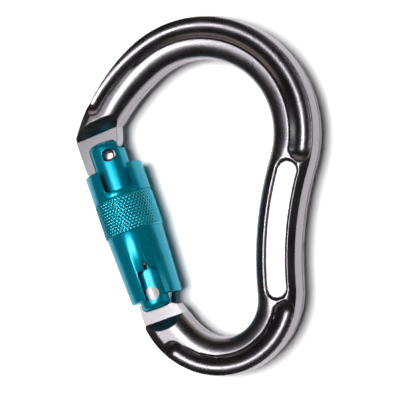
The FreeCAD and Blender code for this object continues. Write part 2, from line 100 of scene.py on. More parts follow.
def bow_edges():
    """The bow's inner and outer edges in plan, station by station, from nose to hinge."""
    throat = (LARGE_IN * math.cos(math.radians(120)), LARGE_IN * math.sin(math.radians(120)))
    leave = (LARGE_OUT_AT[0] + LARGE_OUT * math.cos(math.radians(122)),
             LARGE_OUT_AT[1] + LARGE_OUT * math.sin(math.radians(122)))
    cheek = (-31.6, 18.4)
    cheek_heading = 2 * bearing(leave, cheek) + 148
    saddle = (SMALL_IN_AT[0] + SMALL_IN * math.cos(math.radians(-132)),
              SMALL_IN_AT[1] + SMALL_IN * math.sin(math.radians(-132)))
    top_in, top_out = bearing((0, 0), SPINE_AT), bearing(LARGE_OUT_AT, SPINE_AT)
    low_in, low_out = bearing(SMALL_IN_AT, SPINE_AT), bearing(HEEL_AT, SPINE_AT)
    hinge_inner = at_gate(7.6, HINGE_SHOULDER)
    heel_end = sweep(HEEL_AT, HEEL, -161.2, -160, 1)
    nose_inner, nose_outer = at_gate(6.6, NOSE_SHOULDER), at_gate(-7.9, NOSE_SHOULDER)
    inner = np.concatenate([
        [nose_inner],
        bend(throat, 210, nose_inner, 60)[:0:-1],
        sweep((0, 0), LARGE_IN, 120, top_in, 150),
        sweep(SPINE_AT, SPINE_IN, top_in + 180, low_in + 180, 104),
        sweep(SMALL_IN_AT, SMALL_IN, low_in, -132, 96),
        bend(saddle, 138, hinge_inner, 24),
        [hinge_inner],
    ])
    outer = np.concatenate([
        [nose_outer],
        bend(cheek, cheek_heading, nose_outer, 30)[::-1],
        bend(leave, 212, cheek, 30)[:0:-1],
        sweep(LARGE_OUT_AT, LARGE_OUT, 122, top_out, 150),
        sweep(SPINE_AT, SPINE_OUT, top_out + 180, low_out + 180, 104),
        sweep(HEEL_AT, HEEL, low_out, -161.2, 120),
        heel_end,
    ])
    return closer_at_ends(inner), closer_at_ends(outer)


def from_arc(x, y, centre, radius, start, end):
    """Distance in plan to an arc, measured round its two ends as well."""
    dx, dy = x - centre[0], y - centre[1]
    angle = np.degrees(np.arctan2(dy, dx))
    middle, half = (start + end) / 2, abs(end - start) / 2
    past = np.clip(np.abs((angle - middle + 180) % 360 - 180) - half, 0, None) > 0
    to_line = np.abs(np.hypot(dx, dy) - radius)
    tips = [np.hypot(x - centre[0] - radius * math.cos(math.radians(a)),
                     y - centre[1] - radius * math.sin(math.radians(a))) for a in (start, end)]
    return np.where(past, np.minimum(*tips), to_line)


def soft_min(a, b, blend):
    """The lower of two heights, with the edge between them eased over about blend."""
    h = np.clip(0.5 + 0.5 * (b - a) / blend, 0, 1)
    return b + (a - b) * h - blend * h * (1 - h)


def milled_cove(height, x, y):
    """Lowers the face where the cutter that made each tang's flat ran out into the bow."""
    s, c = math.sin(GATE_TURN), math.cos(GATE_TURN)
    u = c * (x - GATE_FOOT[0]) + s * (y - GATE_FOOT[1])
    v = c * (y - GATE_FOOT[1]) - s * (x - GATE_FOOT[0])
    nose_reach = 3.7 * np.clip((u + 7.9) / 7.3, 0.004, 1) ** 0.6
    along = np.clip((u + 5.9) / 13.5, 0, 1) ** 1.2
    hinge_reach = 3.2 * np.sqrt(np.clip(np.sin(math.pi * along), 0.0005, 1))
    for past, reach in ((v - NOSE_SHOULDER, nose_reach), (HINGE_SHOULDER - v, hinge_reach)):
        near = (past < reach) & (past > -1) & (x < 0)
        cove = TANG_HALF + 3.4 * np.clip(past / reach, 0, 1)
        height = np.where(near, soft_min(height, cove, 0.12), height)
    return height


def face_height(x, y, from_inner, from_outer, name_plate):
    """Height of one forged face over the parting plane; only the front one has the name plate."""
    plate = from_arc(x, y, SPINE_AT, PLATE_MID, PLATE_FROM, PLATE_TO) - PLATE_HALF
    beside_plate = np.clip(1 - plate / 7, 0, 1)
    bead_wide = 5.6 - 0.9 * beside_plate**2 * (3 - 2 * beside_plate)
    short = np.clip(1 - (from_inner - 0.22) / bead_wide, 0, 1) ** 2
    bead = 2.4 + (HALF_THICK - 2.4) * np.sqrt(1 - short)
    # the outer side is a steep drafted wall and a gentle shoulder that meets the flat face
    rim = soft_min(soft_min(6.1 * from_outer + 0.1, 4.3 + 0.43 * from_outer, 0.5), HALF_THICK, 0.3)
    height = np.minimum(bead, rim)
    # past its bend the top channel runs on flatter, tangent to the first arc
    turn_off = math.radians(CHANNEL_BEND)
    flatter_at = ((CHANNEL_RADIUS - FLATTER_RADIUS) * math.cos(turn_off),
                  (CHANNEL_RADIUS - FLATTER_RADIUS) * math.sin(turn_off))
    channels = np.minimum.reduce([
        from_arc(x, y, (0, 0), CHANNEL_RADIUS, -16, CHANNEL_BEND),
        from_arc(x, y, flatter_at, FLATTER_RADIUS, CHANNEL_BEND, 141.4),
        from_arc(x, y, HEEL_AT, HEEL_CHANNEL, -131, -23),
    ])
    hollow = CUTTER_HEIGHT - np.sqrt(np.clip(CUTTER_RADIUS**2 - channels**2, 0, None))
    height = soft_min(height, np.where(channels < CUTTER_RADIUS, hollow, 9.0), 0.2)
    if name_plate:
        sunk = np.clip(0.5 - plate / 0.35, 0, 1)
        height = height + (PLATE_HEIGHT - height) * sunk * sunk * (3 - 2 * sunk)
    return milled_cove(height, x, y)


def mesh_piece(name, points, faces, material):
    """A smooth-shaded object from millimetre points."""
    mesh = bpy.data.meshes.new(name)
    mesh.from_pydata((np.asarray(points) / 1000).tolist(), [], faces)
    mesh.polygons.foreach_set("use_smooth", [True] * len(mesh.polygons))
    mesh.materials.append(material)
    mesh.update()
    piece = bpy.data.objects.new(name, mesh)
    bpy.context.collection.objects.link(piece)
    return piece


def face_outwards(mesh):
    work = bmesh.new()
    work.from_mesh(mesh)
    bmesh.ops.recalc_face_normals(work, faces=work.faces)
    work.to_mesh(mesh)
    work.free()
    mesh.update()


def forged_bow(material, groove_shade_material):
    inner, outer = bow_edges()
    across = outer - inner
    width = np.hypot(*across.T)
    unit = across / width[:, None]
    bead_steps = 0.22 + 6.2 * (1 - np.cos(np.linspace(0, math.pi / 2, 20)))
    rim_steps = 0.35 + 5.85 * (1 - np.cos(np.linspace(0, math.pi / 2, 34)))[::-1]
    middle = 6.42 + (width[:, None] - 12.62) * np.linspace(0, 1, 5)[None, 1:-1]
    steps = np.concatenate([
        np.tile(bead_steps, (len(width), 1)), middle, width[:, None] - rim_steps,
    ], axis=1)
    x = inner[:, :1] + unit[:, :1] * steps
    y = inner[:, 1:] + unit[:, 1:] * steps
    to_outer = width[:, None] - steps
    front = np.stack([x, y, face_height(x, y, steps, to_outer, True)], axis=2)
    back = np.stack([x, y, -face_height(x, y, steps, to_outer, False)], axis=2)[:, ::-1]
    # drafted side walls, with the fine groove that the trimmed flash leaves on the parting line
    draft = [(1.6, 0.25), (0.8, 0.125), (0.34, 0.05), (0.26, 0.045), (0.0, 0.3)]
    draft += [(-h, dip) for h, dip in draft[-2::-1]]
    out_wall = np.stack([
        np.c_[outer - unit * dip, np.full(len(outer), h)] for h, dip in draft], axis=1)
    in_wall = np.stack([
        np.c_[inner + unit * dip * 0.6, np.full(len(inner), h)] for h, dip in draft[::-1]], axis=1)
    loop = np.concatenate([front, out_wall, back, in_wall], axis=1)
    stations, ring = loop.shape[:2]
    faces = []
    for i in range(stations - 1):
        a, b = i * ring, (i + 1) * ring
        faces += [(a + k, b + k, b + (k + 1) % ring, a + (k + 1) % ring) for k in range(ring)]
    faces += [tuple(range(ring)), tuple(range((stations - 1) * ring, stations * ring))[::-1]]
    piece = mesh_piece("forged_bow", loop.reshape(-1, 3), faces, material)
    piece.data.materials.append(groove_shade_material)
    # faces in the parting-line groove take a near-black material: painted shade in the crease
    row = np.arange(len(faces)) % ring - front.shape[1]
    in_groove = (np.abs(row - 3.5) < 1) & (np.arange(len(faces)) < len(faces) - 2)
    piece.data.polygons.foreach_set("material_index", in_groove.astype(int).tolist())
    face_outwards(piece.data)
    return piece


def wear_group():
    """Fine scratches, pinprick dings and slow haze over a polished metal."""
    group = bpy.data.node_groups.new("handling wear", "ShaderNodeTree")
    face = group.interface
    for name, value in (("Scratch depth", 0.5), ("Roughness low", 0.15), ("Roughness high", 0.3)):
        face.new_socket(name, in_out="INPUT", socket_type="NodeSocketFloat").default_value = value
    for name in ("Roughness", "Height", "Haze"):
        face.new_socket(name, in_out="OUTPUT", socket_type="NodeSocketFloat")
    n, link = group.nodes, group.links.new
    inputs, outputs = n.new("NodeGroupInput"), n.new("NodeGroupOutput")
    place = n.new("ShaderNodeTexCoord")

    def calc(operation, a, b, c=0.0):
        node = n.new("ShaderNodeMath")
        node.operation = operation
        for socket, value in zip(node.inputs, (a, b, c)):
            if isinstance(value, (int, float)):
                socket.default_value = value
            else:
                link(value, socket)
        return node.outputs[0]

    def noise(scale, detail, vector):
        node = n.new("ShaderNodeTexNoise")
        node.inputs["Scale"].default_value = scale
        node.inputs["Detail"].default_value = detail
        link(vector, node.inputs["Vector"])
        return node.outputs["Fac"]

    def above(value, low, high):
        node = n.new("ShaderNodeMapRange")
        node.inputs["From Min"].default_value = low
        node.inputs["From Max"].default_value = high
        link(value, node.inputs["Value"])
        return node

    haze = noise(160, 5, place.outputs["Object"])
    scratches = 0.0
    for turn, fine in ((0.5, 1500), (2.1, 1100), (1.2, 1900)):
        lay = n.new("ShaderNodeMapping")
        lay.inputs["Rotation"].default_value = (0.3 * turn, 0.2, turn)
        lay.inputs["Scale"].default_value = (1.0, 0.035, 1.0)
        link(place.outputs["Object"], lay.inputs["Vector"])
        line = above(noise(fine, 2, lay.outputs["Vector"]), 0.66, 0.74)
        scratches = calc("MAXIMUM", line.outputs["Result"], scratches)
    dings = above(noise(520, 1, place.outputs["Object"]), 0.74, 0.80).outputs["Result"]
    marks = calc("MAXIMUM", scratches, dings)
    depth = calc("MULTIPLY", calc("MULTIPLY", marks, haze), inputs.outputs["Scratch depth"])
    spread = above(haze, 0.3, 0.7)
    link(inputs.outputs["Roughness low"], spread.inputs["To Min"])
    link(inputs.outputs["Roughness high"], spread.inputs["To Max"])
    link(calc("MULTIPLY_ADD", depth, 0.15, spread.outputs["Result"]), outputs.inputs["Roughness"])
    link(calc("MULTIPLY", depth, -1.0), outputs.inputs["Height"])
    link(haze, outputs.inputs["Haze"])
    return group


wear = wear_group()


def worn_metal(name, low, high, rough, depth, bump=0.02, metallic=1.0, coat=0.0, lathe=0.0, brushed=0.0,
               edge=(1, 1, 1)):
    """A metal whose colour drifts between two tones. lathe adds fine turning rings square to the
    gate axis and brushed adds fine lines along it, both in millimetres of depth."""
    mat = bpy.data.materials.new(name)
    mat.use_nodes = True
    n, link = mat.node_tree.nodes, mat.node_tree.links.new
    shader = n["Principled BSDF"]
    shader.inputs["Metallic"].default_value = metallic
    shader.inputs["Coat Weight"].default_value = coat
    shader.inputs["Coat Roughness"].default_value = 0.14
    shader.inputs["Coat IOR"].default_value = 1.5
    shader.inputs["Specular Tint"].default_value = (*edge, 1)
    worn = n.new("ShaderNodeGroup")
    worn.node_tree = wear
    worn.inputs["Scratch depth"].default_value = depth
    worn.inputs["Roughness low"].default_value = rough[0]
    worn.inputs["Roughness high"].default_value = rough[1]
    tone = n.new("ShaderNodeMix")
    tone.data_type = "RGBA"
    tone.inputs["A"].default_value = (*low, 1)
    tone.inputs["B"].default_value = (*high, 1)
    link(worn.outputs["Haze"], tone.inputs["Factor"])
    link(tone.outputs["Result"], shader.inputs["Base Color"])
    link(worn.outputs["Roughness"], shader.inputs["Roughness"])
    lumps = n.new("ShaderNodeBump")
    lumps.inputs["Strength"].default_value = 0.5
    lumps.inputs["Distance"].default_value = bump / 1000
    link(worn.outputs["Height"], lumps.inputs["Height"])
    normal = lumps
    for amount, stretch in ((lathe, (0.03, 1, 0.03)), (brushed, (1, 0.03, 1))):
        if not amount:
            continue
        place = n.new("ShaderNodeTexCoord")
        turn, lay = n.new("ShaderNodeMapping"), n.new("ShaderNodeMapping")
        turn.inputs["Rotation"].default_value = (0, 0, -GATE_TURN)
        lay.inputs["Scale"].default_value = stretch
        lines = n.new("ShaderNodeTexNoise")
        lines.inputs["Scale"].default_value = 4200
        lines.inputs["Detail"].default_value = 2
        ridges = n.new("ShaderNodeBump")
        ridges.inputs["Strength"].default_value = 0.6
        ridges.inputs["Distance"].default_value = amount / 1000
        link(place.outputs["Object"], turn.inputs["Vector"])
        link(turn.outputs["Vector"], lay.inputs["Vector"])
        link(lay.outputs["Vector"], lines.inputs["Vector"])
        link(lines.outputs["Fac"], ridges.inputs["Height"])
        link(normal.outputs["Normal"], ridges.inputs["Normal"])
        normal = ridges
    link(normal.outputs["Normal"], shader.inputs["Normal"])
    return mat


polished = worn_metal("polished forged alloy", (0.25, 0.232, 0.25), (0.31, 0.29, 0.315),
                      (0.24, 0.32), 0.2)
# near-black painted shade, laid on the parting-line groove faces
painted_groove_shade = worn_metal("painted shade for flash groove", (0.05, 0.04, 0.032), (0.085, 0.07, 0.058), (0.5, 0.6), 0.4)
bow = forged_bow(polished, painted_groove_shade)
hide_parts("carabiner_body")
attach(bow, "body")

# ---------------------------------------------------------------------------------------------
# The two tangs. The ends of the same bar, milled down to flats that fit the gate's slots. The nose
# is notched to catch the latch pin; the other carries the hinge pin, whose hidden bore isn't cut here.

NOSE_OUTLINE = [
    (-7.85, 51.2), (-7.8, 42.0), (-7.7, 40.9), (-7.2, 40.2), (-4.0, 40.55), (1.0, 40.85), (3.5, 40.8),
    (3.9, 41.2), (3.9, 41.9), (1.9, 41.9), (1.05, 42.13), (0.43, 42.75), (0.2, 43.6), (0.43, 44.45),
    (1.05, 45.07), (1.9, 45.3), (3.9, 45.3), (4.6, 46.2), (5.4, 47.6), (6.55, 51.3), (5.9, 53.0),
    (-6.4, 53.0),
]
HINGE_OUTLINE = [
    (-5.85, -8.5), (-5.85, -2.4), (-4.8, -2.0), (-4.6, -1.6), (-4.6, 0.8), (-4.35, 2.2), (-3.6, 3.4),
    (4.5, 3.4), (4.8, 3.1), (4.8, -0.2), (3.9, -2.6), (3.4, -3.9), (6.4, -5.4), (7.5, -8.5), (7.0, -10.5),
    (-4.0, -10.5),
]


def milled_tang(name, outline, half, material):
    work = bmesh.new()
    low = [work.verts.new((*(q / 1000 for q in at_gate(u, v)), -half / 1000)) for u, v in outline]
    face = work.faces.new(low)
    grown = bmesh.ops.extrude_face_region(work, geom=[face])
    top = [v for v in grown["geom"] if isinstance(v, bmesh.types.BMVert)]
    bmesh.ops.translate(work, verts=top, vec=(0, 0, 2 * half / 1000))
    bmesh.ops.recalc_face_normals(work, faces=work.faces)
    rims = [e for e in work.edges if abs(e.verts[0].co.z - e.verts[1].co.z) < 1e-7]
    bmesh.ops.bevel(work, geom=rims, offset=0.00022, segments=2, affect="EDGES", clamp_overlap=True)
    mesh = bpy.data.meshes.new(name)
    work.to_mesh(mesh)
    work.free()
    mesh.materials.append(material)
    piece = bpy.data.objects.new(name, mesh)
    bpy.context.collection.objects.link(piece)
    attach(piece, "body")
    return piece


milled = worn_metal("milled alloy", (0.33, 0.32, 0.34), (0.40, 0.39, 0.41), (0.28, 0.36), 0.5,
                    brushed=0.006)
milled_tang("nose_tang", NOSE_OUTLINE, TANG_HALF, milled)
milled_tang("hinge_tang", HINGE_OUTLINE, TANG_HALF, milled)

# ---------------------------------------------------------------------------------------------
# The gate. A round bar of teal anodised alloy turned on a lathe, slotted at both ends for the
# tangs, drilled across for its two pins and bored for the plunger and its spring.

GATE_RADIUS, GATE_BOTTOM, GATE_TOP, GATE_ROUND = 5.4, -4.7, 48.2, 1.6
SLOT_HALF, LOW_SLOT_TOP, HIGH_SLOT_FOOT, HIGH_SLOT_INNER, WALL_TOP = 2.45, 6.6, 36.2, 4.2, 45.0
HINGE_PIN, LATCH_PIN, PIN_HEAD, PIN_SHANK, PIN_FIT = (1.0, 0.0), (1.9, 43.7), 2.0, 1.5, 0.03
BORE_U, BORE_RADIUS, BORE_TOP = 2.2, 1.65, 22.0
RING_FROM, RING_TO = 31.0, 32.06
TO_ROW = (Matrix.Translation((GATE_FOOT[0] / 1000, GATE_FOOT[1] / 1000, 0))
          @ Matrix.Rotation(GATE_TURN, 4, "Z") @ Matrix.Scale(0.001, 4))


def raw_mesh(name, points, faces, place=None):
    mesh = bpy.data.meshes.new(name)
    mesh.from_pydata([tuple(p) for p in points], [], faces)
    if place is not None:
        mesh.transform(place)
    face_outwards(mesh)
    return mesh


def turned_mesh(name, profile, closed=False, around=120):
    """A profile of (v, radius) corners turned about the gate axis, in millimetres. An open profile
    starts and ends on the axis."""
    points, rings = [], []
    for v, r in profile:
        if r == 0:
            rings.append([len(points)])
            points.append((0, v, 0))
            continue
        rings.append(list(range(len(points), len(points) + around)))
        for a in np.linspace(0, 2 * math.pi, around, endpoint=False):
            points.append((r * math.cos(a), v, r * math.sin(a)))
    pairs = list(zip(rings, rings[1:])) + ([(rings[-1], rings[0])] if closed else [])
    faces = []
    for a, b in pairs:
        for k in range(around):
            corners = [a[k % len(a)], a[(k + 1) % len(a)], b[(k + 1) % len(b)], b[k % len(b)]]
            faces.append(tuple(dict.fromkeys(corners)))
    return raw_mesh(name, points, faces)


def prism(name, outline, low, high, place=None):
    """An outline in (u, v) carried straight from z = low to z = high."""
    count = len(outline)
    points = [(u, v, z) for z in (low, high) for u, v in outline]
    faces = [tuple(range(count)), tuple(range(count, 2 * count))]
    faces += [(k, (k + 1) % count, count + (k + 1) % count, count + k) for k in range(count)]
    return raw_mesh(name, points, faces, place)


def box_outline(u0, u1, v0, v1):
    return [(u0, v0), (u1, v0), (u1, v1), (u0, v1)]


def ring_outline(u, v, radius, start=0, end=360, count=48):
    """Points of an arc in (u, v); a whole circle leaves out the doubled last point."""
    angle = np.radians(np.linspace(start, end, count, endpoint=end - start < 360))
    return [(u + radius * math.cos(a), v + radius * math.sin(a)) for a in angle]


def end_round(v_end, radius, soft, steps=6):
    """Profile corners round the edge of a bar's end, from its face to its side."""
    inwards = 1 if v_end < 10 else -1
    turn = [math.pi / 2 * k / steps for k in range(steps + 1)]
    return [(v_end + inwards * soft * (1 - math.cos(t)), radius - soft * (1 - math.sin(t))) for t in turn]


def machined(name, blank, cutters, edge, material, body, node, place):
    """Cuts every cutter out of the blank, breaks sharp edges by edge, and sets the piece in place."""
    temp = bpy.data.objects.new(name + "_blank", blank)
    bpy.context.collection.objects.link(temp)
    tools = []
    for cutter in cutters:
        tool = bpy.data.objects.new(name + "_cutter", cutter)
        bpy.context.collection.objects.link(tool)
        tools.append(tool)
        cut = temp.modifiers.new("cut", "BOOLEAN")
        cut.operation, cut.solver, cut.object = "DIFFERENCE", "EXACT", tool
    if edge:
        broken = temp.modifiers.new("broken edges", "BEVEL")
        broken.width, broken.segments, broken.limit_method = edge, 2, "ANGLE"
        broken.angle_limit = math.radians(38)
        broken.use_clamp_overlap = True
        broken.loop_slide = False
    bpy.context.view_layer.update()
    graph = bpy.context.evaluated_depsgraph_get()
    mesh = bpy.data.meshes.new_from_object(temp.evaluated_get(graph))
    for item in [temp] + tools:
        bpy.data.objects.remove(item)
    mesh.transform(place)
    mesh.polygons.foreach_set("use_smooth", [True] * len(mesh.polygons))
    mesh.set_sharp_from_angle(angle=math.radians(32))
    mesh.materials.clear()
    mesh.materials.append(material)
    piece = bpy.data.objects.new(name, mesh)
    bpy.context.collection.objects.link(piece)
    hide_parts(node)
    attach(piece, body)
    return piece


teal = worn_metal("teal anodised alloy", (0.0, 0.22, 0.315), (0.0, 0.31, 0.43), (0.24, 0.32), 0.12,
                  metallic=0.72, coat=0.35, edge=(0.2, 0.75, 0.85), lathe=0.01)

bar = turned_mesh("gate_bar", [(GATE_BOTTOM, 0)] + end_round(GATE_BOTTOM, GATE_RADIUS, GATE_ROUND)
                  + end_round(GATE_TOP, GATE_RADIUS, GATE_ROUND)[::-1] + [(GATE_TOP, 0)])
gate_cutters = [
    prism("low_slot", box_outline(-9, 9, -9, LOW_SLOT_TOP), -SLOT_HALF, SLOT_HALF),
    prism("high_slot", box_outline(-9, HIGH_SLOT_INNER, HIGH_SLOT_FOOT, 55), -SLOT_HALF, SLOT_HALF),
    prism("high_mouth", box_outline(0, 9, WALL_TOP, 56), -SLOT_HALF, SLOT_HALF),
    prism("top_corner", [(3.7, 48.4), (5.6, 45.2), (8.0, 45.2), (8.0, 50.0), (3.7, 50.0)], -7, 7),
    turned_mesh("ring_groove", [
        (RING_FROM, 4.95), (RING_FROM, 7), (RING_TO, 7), (RING_TO, 4.95)], closed=True),
]
bore = prism("bore", ring_outline(0, 0, BORE_RADIUS, count=32), LOW_SLOT_TOP - 1, BORE_TOP)
bore.transform(Matrix.Translation((BORE_U, 0, 0)) @ Matrix.Rotation(math.radians(-90), 4, "X"))
gate_cutters.append(bore)
for (u, v), rise in ((HINGE_PIN, 3.4), (LATCH_PIN, 3.9)):
    gate_cutters.append(prism("pin_hole", ring_outline(u, v, PIN_SHANK + PIN_FIT, count=32), -7, 7))
    gate_cutters.append(prism("pin_seat", ring_outline(u, v, PIN_HEAD + PIN_FIT), rise, 8))
    gate_cutters.append(prism("pin_seat", ring_outline(u, v, PIN_HEAD + PIN_FIT), -8, -rise))
gate = machined("gate_bar", bar, gate_cutters, 0.16, teal, "gate", "gate", TO_ROW)

# ---------------------------------------------------------------------------------------------
# The two pins, stainless rivets closed from both sides. The hinge pin's heads are turned down flush
# with the gate because the sleeve turns over them; the latch pin keeps its low domed heads.


def lathed_pin(name, at, profile, material, node):
    """A rivet turned about its own axis, which lies along z through a point in gate axes."""
    blank = turned_mesh(name, profile, around=64)
    stand = Matrix.Translation((at[0], at[1], 0)) @ Matrix.Rotation(math.radians(90), 4, "X")
    blank.transform(stand)
    return machined(name, blank, [], 0, material, "gate", node, TO_ROW)


def domed_half(half, under, dome):
    """Shank and one domed head, from the pin's middle outwards."""
    rim = half - dome
    top = [(rim + dome * math.sin(t), PIN_HEAD * math.cos(t)) for t in np.radians([20, 40, 55, 70, 80])]
    return [(under, PIN_SHANK), (under, PIN_HEAD), (rim - 0.05, PIN_HEAD)] + top + [(half, 0)]


def two_headed(half, under, dome):
    upper = domed_half(half, under, dome)
    return [(-v, r) for v, r in upper[::-1]] + upper


bright = worn_metal("bright stainless", (0.62, 0.60, 0.57), (0.74, 0.72, 0.70), (0.2, 0.3), 0.5)
latch_pin = lathed_pin("latch_rivet", LATCH_PIN, two_headed(4.9, 3.9, 0.45), bright, "latch_pin")

plain = turned_mesh("hinge_pin", [
    (-5.36, 0), (-5.36, PIN_HEAD), (-3.4, PIN_HEAD), (-3.4, PIN_SHANK),
    (3.4, PIN_SHANK), (3.4, PIN_HEAD), (5.36, PIN_HEAD), (5.36, 0),
], around=64)
plain.transform(Matrix.Translation((*HINGE_PIN, 0)) @ Matrix.Rotation(math.radians(90), 4, "X"))
outside = turned_mesh("over_gate", [(-3.5, 5.34), (-3.5, 9), (3.5, 9), (3.5, 5.34)], closed=True)
satin = worn_metal("satin stainless", (0.72, 0.70, 0.69), (0.84, 0.82, 0.81), (0.4, 0.5), 0.3,
                   metallic=0.55)
hinge_pin = machined("hinge_rivet", plain, [outside], 0.08, satin, "gate", "hinge_pin", TO_ROW)

# ---------------------------------------------------------------------------------------------
# The locking sleeve. Teal anodised tube turned to a slight cone, with two ears over the gate's
# head, a keyhole slot over the hinge and a diamond-knurled band where finger and thumb grip.

SLEEVE_REST = math.radians(20)
SLEEVE_FOOT, SLEEVE_FOOT_RADIUS, CONE_TOP, BAND_FOOT, BAND_TOP = -1.5, 7.85, 8.7, 19.3, 30.6
BAND_RADIUS, EAR_TOP, EAR_RADIUS, EAR_SLOT_FOOT, EAR_SLOT_HALF = 9.05, 39.4, 8.95, 32.3, 4.35
LAND_RADIUS, LAND_TOP, CHAMBER_RADIUS, EAR_BORE = 5.48, 8.2, 7.4, 7.6
FOOT_SLOT_HALF, FOOT_SLOT_TOP, WIRE_NOTCH_HALF, WIRE_NOTCH_TOP = 3.1, 7.2, 0.72, 9.6


def node_tree(name, inputs):
    """A geometry tree with named inputs, and a helper that adds a math node."""
    tree = bpy.data.node_groups.new(name, "GeometryNodeTree")
    for label, kind in inputs:
        tree.interface.new_socket(label, in_out="INPUT", socket_type="NodeSocket" + kind)
    tree.interface.new_socket("Geometry", in_out="OUTPUT", socket_type="NodeSocketGeometry")

    def calc(operation, a, b=0.0):
        node = tree.nodes.new("ShaderNodeMath")
        node.operation = operation
        for socket, value in zip(node.inputs, (a, b)):
            if isinstance(value, (int, float)):
                socket.default_value = value
            else:
                tree.links.new(value, socket)
        return node.outputs[0]

    return tree, calc


def close_tree(tree, geometry, turn, place, finish):
    """Turns and places the geometry, realizes it and gives it its material."""
    link = tree.links.new
    lay = tree.nodes.new("GeometryNodeTransform")
    real = tree.nodes.new("GeometryNodeRealizeInstances")
    dress = tree.nodes.new("GeometryNodeSetMaterial")
    out = tree.nodes.new("NodeGroupOutput")
    link(geometry, lay.inputs["Geometry"])
    link(turn, lay.inputs["Rotation"])
    link(place, lay.inputs["Translation"])
    link(lay.outputs["Geometry"], real.inputs["Geometry"])
    link(real.outputs["Geometry"], dress.inputs["Geometry"])
    link(finish, dress.inputs["Material"])
    link(dress.outputs["Geometry"], out.inputs[0])


def grown(name, tree, values, body):
    """Sets a tree's named inputs, evaluates it and keeps the result as a plain mesh."""
    temp = bpy.data.objects.new(name + "_seed", bpy.data.meshes.new(name + "_seed"))
    bpy.context.collection.objects.link(temp)
    modifier = temp.modifiers.new("grow", "NODES")
    modifier.node_group = tree
    for socket in tree.interface.items_tree:
        if socket.in_out == "INPUT":
            modifier[socket.identifier] = values[socket.name]
    temp.update_tag()
    bpy.context.view_layer.update()
    graph = bpy.context.evaluated_depsgraph_get()
    mesh = bpy.data.meshes.new_from_object(temp.evaluated_get(graph))
    bpy.data.objects.remove(temp)
    mesh.polygons.foreach_set("use_smooth", [True] * len(mesh.polygons))
    piece = bpy.data.objects.new(name, mesh)
    bpy.context.collection.objects.link(piece)
    if body:
        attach(piece, body)  # a piece given no body is left unattached
    return piece


def knurl_tree():
    """Two crossing sets of V grooves rolled into a band round the v axis."""
    tree, calc = node_tree("diamond knurl", [
        ("Band radius", "Float"), ("Groove depth", "Float"), ("Band foot", "Float"),
        ("Band length", "Float"), ("Starts", "Int"), ("Samples", "Int"), ("Rows", "Int"),
        ("Turn", "Vector"), ("Place", "Vector"), ("Finish", "Material")])
    link = tree.links.new
    given = tree.nodes.new("NodeGroupInput").outputs
    columns = calc("MULTIPLY", given["Starts"], given["Samples"])
    grid = tree.nodes.new("GeometryNodeMeshGrid")
    grid.inputs["Size X"].default_value = 1
    grid.inputs["Size Y"].default_value = 1
    link(calc("ADD", columns, 1), grid.inputs["Vertices X"])
    link(calc("ADD", given["Rows"], 1), grid.inputs["Vertices Y"])
    where = tree.nodes.new("GeometryNodeInputPosition")
    parts = tree.nodes.new("ShaderNodeSeparateXYZ")
    link(where.outputs["Position"], parts.inputs["Vector"])
    across, along = calc("ADD", parts.outputs["X"], 0.5), calc("ADD", parts.outputs["Y"], 0.5)
    starts_passed = calc("MULTIPLY", across, given["Starts"])
    crossings = calc("DIVIDE", calc("MULTIPLY", along, given["Rows"]), given["Samples"])
    crest = None
    for operation in ("ADD", "SUBTRACT"):
        share = calc("FRACT", calc("ADD", calc(operation, starts_passed, crossings), 64))
        ramp = calc("SUBTRACT", 1, calc("MULTIPLY", 2, calc("ABSOLUTE", calc("SUBTRACT", share, 0.5))))
        crest = ramp if crest is None else calc("MINIMUM", crest, ramp)
    flat = calc("MINIMUM", calc("MULTIPLY", crest, 1.3), 1)
    to_end = calc("MULTIPLY", calc("SUBTRACT", 0.5, calc("ABSOLUTE", parts.outputs["Y"])), given["Rows"])
    fade = calc("MINIMUM", calc("MULTIPLY", to_end, 0.7), 1)
    drop = calc("MULTIPLY", calc("SUBTRACT", 1, calc("MULTIPLY", flat, fade)), given["Groove depth"])
    at_rim = calc("MULTIPLY", calc("LESS_THAN", to_end, 0.5), given["Groove depth"])
    radius = calc("SUBTRACT", calc("SUBTRACT", given["Band radius"], drop), at_rim)
    angle = calc("MULTIPLY", across, 2 * math.pi)
    v = calc("ADD", calc("MULTIPLY", along, given["Band length"]), given["Band foot"])
    corner = tree.nodes.new("ShaderNodeCombineXYZ")
    link(calc("MULTIPLY", radius, calc("SINE", angle)), corner.inputs["X"])
    link(v, corner.inputs["Y"])
    link(calc("MULTIPLY", radius, calc("COSINE", angle)), corner.inputs["Z"])
    roll = tree.nodes.new("GeometryNodeSetPosition")
    link(grid.outputs["Mesh"], roll.inputs["Geometry"])
    link(corner.outputs["Vector"], roll.inputs["Position"])
    seam = tree.nodes.new("GeometryNodeMergeByDistance")
    seam.inputs["Distance"].default_value = 1e-6
    link(roll.outputs["Geometry"], seam.inputs["Geometry"])
    close_tree(tree, seam.outputs["Geometry"], given["Turn"], given["Place"], given["Finish"])
    return tree


def slot_outline(half, foot, top, corner, opens_up):
    """A slot with two rounded corners at its closed end."""
    shut, away = (foot, top) if opens_up else (top, foot)
    side = 1 if opens_up else -1
    left = [(u, shut + side * corner + v) for u, v in ring_outline(-half + corner, 0, corner, 180, 270, 7)]
    if not opens_up:
        left = [(u, 2 * (shut - corner) - v) for u, v in left]
    right = [(-u, v) for u, v in left[::-1]]
    return [(-half, away)] + left + right + [(half, away)]


